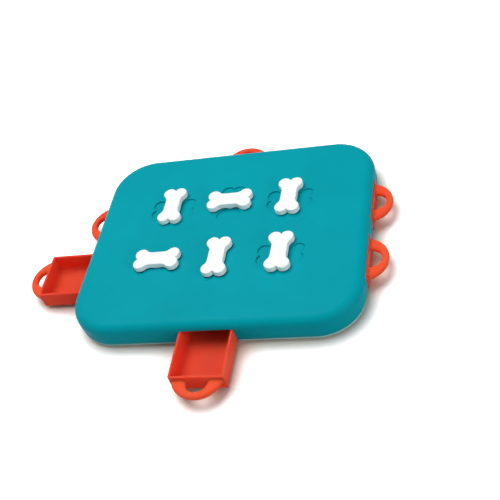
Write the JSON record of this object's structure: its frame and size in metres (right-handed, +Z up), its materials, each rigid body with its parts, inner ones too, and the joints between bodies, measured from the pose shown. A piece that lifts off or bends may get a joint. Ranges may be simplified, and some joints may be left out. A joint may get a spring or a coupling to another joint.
{
  "type": "dog puzzle feeder toy",
  "caption": "Rounded rectangular dog puzzle feeder: a flat board with pull-out treat drawers around its sides, each released by turning a bone-shaped knob on top.",
  "frame": {"origin": "centre of the board's underside, on the surface that it stands on", "axes": "+X along the long side, towards the two closed right drawers; +Y towards the back drawer, so the front drawer faces -Y; +Z up"},
  "size_m": [0.467, 0.404, 0.0465],
  "materials": {
    "shell": "satin",
    "base": "matt",
    "pads": "matt",
    "screws": "plain",
    "drawers": "satin",
    "bones": "satin",
    "cams": "matt"
  },
  "bodies": {
    "board": {"top_shell": "shell", "shell_ribs": "shell", "base_plate": "base", "drawer_rails": "base", "non_slip_pads": "pads", "base_screws": "screws"},
    "drawer_left_front_body": {"drawer_left_front": "drawers", "handle_left_front": "drawers"},
    "bone_left_front_body": {"bone_left_front": "bones", "cam_left_front": "cams", "cam_screw_left_front": "screws"},
    "drawer_left_back_body": {"drawer_left_back": "drawers", "handle_left_back": "drawers"},
    "bone_left_back_body": {"bone_left_back": "bones", "cam_left_back": "cams", "cam_screw_left_back": "screws"},
    "drawer_right_front_body": {"drawer_right_front": "drawers", "handle_right_front": "drawers"},
    "bone_right_front_body": {"bone_right_front": "bones", "cam_right_front": "cams", "cam_screw_right_front": "screws"},
    "drawer_right_back_body": {"drawer_right_back": "drawers", "handle_right_back": "drawers"},
    "bone_right_back_body": {"bone_right_back": "bones", "cam_right_back": "cams", "cam_screw_right_back": "screws"},
    "drawer_front_body": {"drawer_front": "drawers", "handle_front": "drawers"},
    "bone_front_body": {"bone_front": "bones", "cam_front": "cams", "cam_screw_front": "screws"},
    "drawer_back_body": {"drawer_back": "drawers", "handle_back": "drawers"},
    "bone_back_body": {"bone_back": "bones", "cam_back": "cams", "cam_screw_back": "screws"}
  },
  "joints": [
    {"name": "drawer_left_front_slide", "type": "slide", "parent": "board", "child": "drawer_left_front_body", "axis": [-1, 0, 0], "range_m": [-0.059, 0.026]},
    {"name": "drawer_left_back_slide", "type": "slide", "parent": "board", "child": "drawer_left_back_body", "axis": [-1, 0, 0], "range_m": [0, 0.085]},
    {"name": "drawer_right_front_slide", "type": "slide", "parent": "board", "child": "drawer_right_front_body", "axis": [1, 0, 0], "range_m": [0, 0.085]},
    {"name": "drawer_right_back_slide", "type": "slide", "parent": "board", "child": "drawer_right_back_body", "axis": [1, 0, 0], "range_m": [0, 0.085]},
    {"name": "drawer_front_slide", "type": "slide", "parent": "board", "child": "drawer_front_body", "axis": [0, -1, 0], "range_m": [-0.062, 0.023]},
    {"name": "drawer_back_slide", "type": "slide", "parent": "board", "child": "drawer_back_body", "axis": [0, 1, 0], "range_m": [0, 0.085]},
    {"name": "bone_left_front_turn", "type": "hinge", "parent": "board", "child": "bone_left_front_body", "pos_m": [-0.078, -0.046, 0.038], "axis": [0, 0, 1], "continuous": true},
    {"name": "bone_left_back_turn", "type": "hinge", "parent": "board", "child": "bone_left_back_body", "pos_m": [-0.078, 0.046, 0.038], "axis": [0, 0, 1], "continuous": true},
    {"name": "bone_right_front_turn", "type": "hinge", "parent": "board", "child": "bone_right_front_body", "pos_m": [0.078, -0.046, 0.038], "axis": [0, 0, 1], "continuous": true},
    {"name": "bone_right_back_turn", "type": "hinge", "parent": "board", "child": "bone_right_back_body", "pos_m": [0.078, 0.046, 0.038], "axis": [0, 0, 1], "continuous": true},
    {"name": "bone_front_turn", "type": "hinge", "parent": "board", "child": "bone_front_body", "pos_m": [0, -0.0475, 0.038], "axis": [0, 0, 1], "continuous": true},
    {"name": "bone_back_turn", "type": "hinge", "parent": "board", "child": "bone_back_body", "pos_m": [0, 0.0475, 0.038], "axis": [0, 0, 1], "continuous": true}
  ]
}
